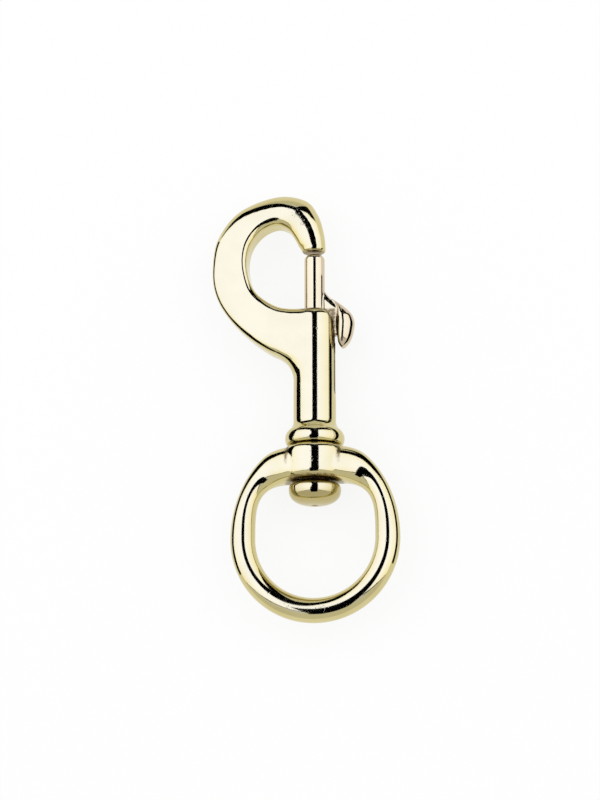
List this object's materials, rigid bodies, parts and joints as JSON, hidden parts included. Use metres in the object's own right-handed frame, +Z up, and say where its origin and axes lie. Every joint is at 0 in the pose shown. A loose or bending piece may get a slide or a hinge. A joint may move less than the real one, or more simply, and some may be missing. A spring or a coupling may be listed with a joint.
{
  "type": "bolt snap",
  "caption": "Swivel-eye bolt snap in polished cast brass: a flat hook closed by a sprung sliding bolt with a thumb lever, and a round eye that turns on a headed pin.",
  "frame": {"origin": "centre of the snap's bounding box, on the surface it lies on", "axes": "+Y along the barrel towards the hook, +X towards the thumb lever's side, +Z up from the surface it lies on"},
  "size_m": [0.0402, 0.0936, 0.0134],
  "materials": {
    "cast_brass": "polished casting",
    "bolt_brass": "polished casting, slightly redder",
    "pin_brass": "turned and polished",
    "spring_wire": "drawn wire"
  },
  "bodies": {
    "hook": {"hook_body": "cast_brass", "swivel_pin": "pin_brass", "bolt_spring": "spring_wire"},
    "bolt": {"bolt": "bolt_brass"},
    "eye": {"swivel_eye": "cast_brass"}
  },
  "joints": [
    {"name": "bolt_slide", "type": "slide", "parent": "hook", "child": "bolt", "axis": [0, -1, 0], "range_m": [0, 0.0123], "stiffness_N_per_m": 450, "springref_m": -0.01, "deforming": ["bolt_spring"]},
    {"name": "eye_swivel", "type": "hinge", "parent": "hook", "child": "eye", "pos_m": [0.0021, -0.012, 0.0067], "axis": [0, 1, 0], "continuous": true}
  ]
}
